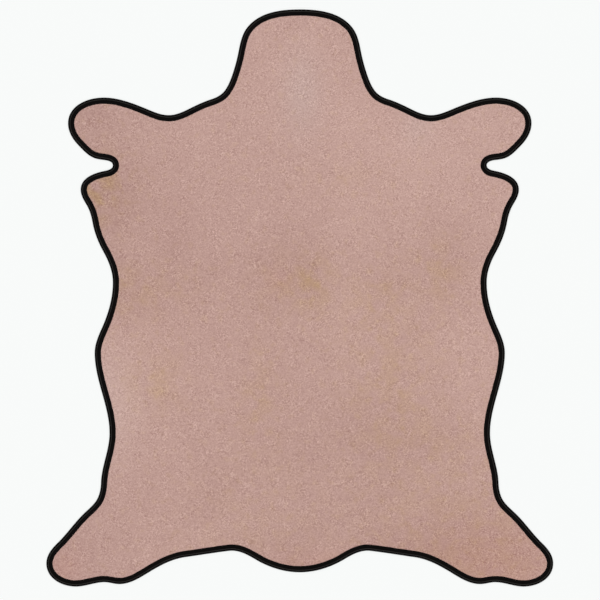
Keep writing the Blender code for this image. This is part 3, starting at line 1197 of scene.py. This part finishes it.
def make_floor(settings):
    """A plain pale floor just below the rug, lit a little from within."""
    half = settings.floor_width / 2.0
    plan = ((-half, -half), (half, -half), (half, half), (-half, half))
    corners = [(x, y, FLOOR_HEIGHT) for x, y in plan]
    mesh = bpy.data.meshes.new("floor")
    mesh.from_pydata(corners, [], [(0, 1, 2, 3)])
    material, bench, shader = new_material("pale_floor")
    finish = {
        "Base Color": as_rgba(shaded(settings.floor_colour, 1.0 - settings.floor_glow)),
        "Roughness": 0.9,
        "Specular IOR Level": 0.0,
        "Emission Color": as_rgba(settings.floor_colour),
        "Emission Strength": settings.floor_glow * settings.light_level,
    }
    bench.feed_all(shader, finish)
    mesh.materials.append(material)
    floor = bpy.data.objects.new("floor", mesh)
    bpy.context.scene.collection.objects.link(floor)


def make_light(settings):
    """Soft light from a bright ring above the horizon, under a dark ceiling, and a plain pale backdrop.

    Its brightness goes up and down again smoothly with the sine of the elevation, and is scaled so that
    the floor gets the light level: that of a ring of one brightness between two elevations is its
    brightness times the difference of their squared sines.
    """
    world = bpy.data.worlds.new("soft_studio")
    bpy.context.scene.world = world
    world.use_nodes = True
    bench = Bench(world.node_tree)
    output = bench.put("ShaderNodeOutputWorld")
    way = bench.put("ShaderNodeTexCoord").outputs["Generated"]
    height = bench.put("ShaderNodeSeparateXYZ", {0: way}).outputs["Z"]
    low, high = math.sin(settings.light_low), math.sin(settings.light_high)
    rise = bench.between(height, low - LIGHT_FADE_BELOW, low + LIGHT_FADE_BELOW)
    fall = bench.between(height, high - LIGHT_FADE_ABOVE, high + LIGHT_FADE_ABOVE)
    fall = bench.sum_up("SUBTRACT", 1.0, fall)
    ring = bench.sum_up("MULTIPLY", rise, fall)
    brightness = (settings.light_level - FILL_LIGHT) / (high**2 - low**2)
    strength = bench.sum_up("MULTIPLY_ADD", ring, brightness, FILL_LIGHT)
    light = bench.put("ShaderNodeBackground", {"Color": (1.0, 1.0, 1.0, 1.0), "Strength": strength})
    shown = shaded(settings.floor_colour, settings.light_level)
    backdrop = bench.put("ShaderNodeBackground", {"Color": as_rgba(shown), "Strength": 1.0})
    seen = bench.put("ShaderNodeLightPath").outputs["Is Camera Ray"]
    both = bench.put("ShaderNodeMixShader", {0: seen, 1: light.outputs[0], 2: backdrop.outputs[0]})
    bench.feed(output.inputs["Surface"], both.outputs[0])


def make_camera(settings):
    """A camera straight above the rug, with the head at the top of the picture.

    Its height is the width that the picture takes in, times the lens over the sensor's width.
    """
    camera = bpy.data.cameras.new("portrait")
    camera.sensor_width = SENSOR_WIDTH_MM
    camera.lens = settings.lens
    camera.clip_end = CAMERA_REACH
    item = bpy.data.objects.new("portrait", camera)
    item.location = (*CAMERA_PLAN, settings.frame_width * settings.lens / SENSOR_WIDTH_MM)
    bpy.context.scene.collection.objects.link(item)
    bpy.context.scene.camera = item
    bpy.context.scene.view_settings.view_transform = "Standard"


class HIDERUG_OT_sheet(bpy.types.Operator):
    """Make the suede sheet in place of its solid"""

    bl_idname = "hiderug.sheet"
    bl_label = "Suede Sheet"

    def execute(self, context):
        make_suede_sheet(context.scene.hide_rug)
        return {"FINISHED"}


class HIDERUG_OT_binding(bpy.types.Operator):
    """Make the folded leather binding in place of its solid"""

    bl_idname = "hiderug.binding"
    bl_label = "Edge Binding"

    def execute(self, context):
        make_edge_binding(context.scene.hide_rug)
        return {"FINISHED"}


class HIDERUG_OT_stitches(bpy.types.Operator):
    bl_idname = "hiderug.stitches"
    bl_label = "Stitches"

    def execute(self, context):
        sheet = bpy.data.objects.get("suede_sheet")
        binding = bpy.data.objects.get("edge_binding")
        if sheet is None or binding is None:
            raise RuntimeError("make the sheet and the binding before the stitches")
        seams = make_both_seams(context.scene.hide_rug)
        area = cut_area(context.scene.hide_rug.sheet.station_step)
        return {"FINISHED"}


class HIDERUG_OT_stage(bpy.types.Operator):
    """Make the floor, the light and the camera"""

    bl_idname = "hiderug.stage"
    bl_label = "Stage"

    def execute(self, context):
        settings = context.scene.hide_rug.stage
        make_floor(settings)
        make_light(settings)
        make_camera(settings)
        return {"FINISHED"}


class VIEW3D_PT_hide_rug(bpy.types.Panel):
    """Lists the rug's pieces with their sizes and colours"""

    bl_label = "Hide Rug"
    bl_space_type = "VIEW_3D"
    bl_region_type = "UI"
    bl_category = "Hide Rug"

    def draw(self, context):
        settings = context.scene.hide_rug
        for group, operators in PANEL_ROWS:
            box = self.layout.box()
            part = getattr(settings, group)
            for name in part.__annotations__:
                box.prop(part, name)
            for operator in operators:
                box.operator(operator.bl_idname)


PANEL_ROWS = (
    ("sheet", (HIDERUG_OT_sheet,)),
    ("binding", (HIDERUG_OT_binding, HIDERUG_OT_stitches)),
    ("stage", (HIDERUG_OT_stage,)),
)
CLASSES = (
    SheetSettings,
    BindingSettings,
    StageSettings,
    HideRugSettings,
    HIDERUG_OT_sheet,
    HIDERUG_OT_binding,
    HIDERUG_OT_stitches,
    HIDERUG_OT_stage,
    VIEW3D_PT_hide_rug,
)


def register():
    for item in CLASSES:
        bpy.utils.register_class(item)
    bpy.types.Scene.hide_rug = bpy.props.PointerProperty(type=HideRugSettings)


def unregister():
    del bpy.types.Scene.hide_rug
    for item in reversed(CLASSES):
        bpy.utils.unregister_class(item)


def main():
    register()
    bpy.ops.hiderug.stage()
    bpy.ops.hiderug.sheet()
    bpy.ops.hiderug.binding()
    bpy.ops.hiderug.stitches()


if __name__ == "__main__":
    main()
